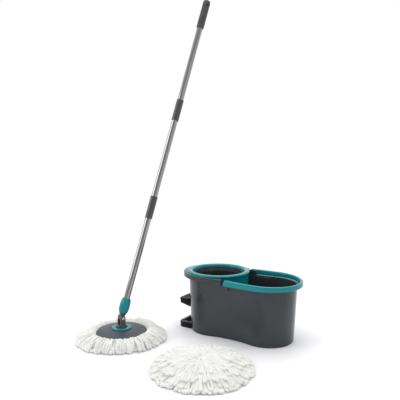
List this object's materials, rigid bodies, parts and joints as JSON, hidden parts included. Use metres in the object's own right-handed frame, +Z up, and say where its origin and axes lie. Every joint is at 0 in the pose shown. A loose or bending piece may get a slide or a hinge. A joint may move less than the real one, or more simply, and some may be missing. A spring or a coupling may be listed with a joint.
{
  "type": "spin mop set",
  "caption": "Spin mop with a tilting, swivelling strand head, a pedal-driven spin bucket with wash well, and a loose refill head.",
  "frame": {"origin": "on the floor, on the spin basket's axis, under the bucket's base cover", "axes": "+Z up, +X from the spin basket to the wash well, -Y to the mop and refill head"},
  "size_m": [0.6844, 0.5897, 1.1914],
  "materials": {
    "slate_body": "glossy",
    "teal": "glossy",
    "black_plastic": "satin",
    "grey_plastic": "satin",
    "basket_plastic": "satin",
    "gear_plastic": "natural",
    "ring_plastic": "satin",
    "pole_steel": "polished",
    "steel": "plain",
    "bronze": "sintered",
    "seal_rubber": "matte",
    "grip_rubber": "matte",
    "strands": "looped microfibre"
  },
  "bodies": {
    "bucket": {"bucket_shell": "slate_body", "base_cover": "black_plastic", "cover_screws": "steel", "spinner_collar": "teal", "foot_bracket": "black_plastic", "gear_frame": "grey_plastic", "spindle_bush": "bronze", "shaft_seal": "seal_rubber", "pedal_axle": "steel", "wheel_axle": "steel", "return_spring": "steel"},
    "basket": {"spin_basket": "basket_plastic", "spindle": "steel", "clutch_rollers": "steel", "basket_nut": "grey_plastic"},
    "pedal": {"pedal_lever": "black_plastic"},
    "crown": {"crown_wheel": "gear_plastic"},
    "pinion": {"drive_pinion": "gear_plastic"},
    "handle": {"carry_handle": "teal"},
    "mop_knuckle": {"knuckle_base": "grey_plastic", "swivel_clip": "steel", "knuckle_pin": "steel"},
    "mop_head": {"mop_plate": "grey_plastic", "plate_ring": "teal", "refill_ring": "ring_plastic", "mop_strands": "strands"},
    "mop_pole": {"knuckle_socket": "grey_plastic", "lower_tube": "pole_steel", "lower_collar": "grey_plastic", "lower_joiner": "black_plastic", "middle_tube": "pole_steel", "upper_collar": "grey_plastic", "upper_joiner": "black_plastic", "upper_tube": "pole_steel", "grip": "grip_rubber"},
    "mop_lock": {"lock_collar": "teal"},
    "refill": {"spare_ring": "ring_plastic", "spare_strands": "strands"}
  },
  "joints": [
    {"name": "basket_spin", "type": "hinge", "parent": "bucket", "child": "basket", "pos_m": [0, 0, 0.11], "axis": [0, 0, 1], "continuous": true},
    {"name": "pedal_press", "type": "hinge", "parent": "bucket", "child": "pedal", "pos_m": [0.06, 0, 0.02], "axis": [0, -1, 0], "range_deg": [0, 16], "stiffness_Nm_per_rad": 6, "springref_deg": -14.32, "deforming": ["return_spring"]},
    {"name": "crown_turn", "type": "hinge", "parent": "bucket", "child": "crown", "pos_m": [0, 0.012, 0.045], "axis": [0, -1, 0], "range_deg": [-101, 1]},
    {"name": "drive_turn", "type": "hinge", "parent": "bucket", "child": "pinion", "pos_m": [0, 0, 0.075], "axis": [0, 0, 1], "range_deg": [-402, 2]},
    {"name": "handle_lift", "type": "hinge", "parent": "bucket", "child": "handle", "pos_m": [0.082, 0, 0.1945], "axis": [0, -1, 0], "range_deg": [0, 90]},
    {"name": "mop_lift", "type": "slide", "parent": "bucket", "child": "mop_knuckle", "axis": [0, 0, 1], "range_m": [0, 0.3]},
    {"name": "head_swivel", "type": "hinge", "parent": "mop_knuckle", "child": "mop_head", "pos_m": [-0.2246, -0.2645, 0.04], "axis": [0, 0, 1], "continuous": true},
    {"name": "pole_tilt", "type": "hinge", "parent": "mop_knuckle", "child": "mop_pole", "pos_m": [-0.2246, -0.2645, 0.074], "axis": [-0.9078, 0.4195, 0], "range_deg": [-97, 30]},
    {"name": "lock_twist", "type": "hinge", "parent": "mop_pole", "child": "mop_lock", "pos_m": [-0.2246, -0.2645, 0.074], "axis": [0.1252, 0.271, 0.9544], "range_deg": [0, 60]},
    {"name": "refill_lift", "type": "slide", "parent": "bucket", "child": "refill", "axis": [0, 0, 1], "range_m": [0, 0.3]}
  ],
  "couplings": [
    {"joint": "crown_turn", "follows": "pedal_press", "ratio": -6.2222},
    {"joint": "drive_turn", "follows": "pedal_press", "ratio": -24.889}
  ]
}
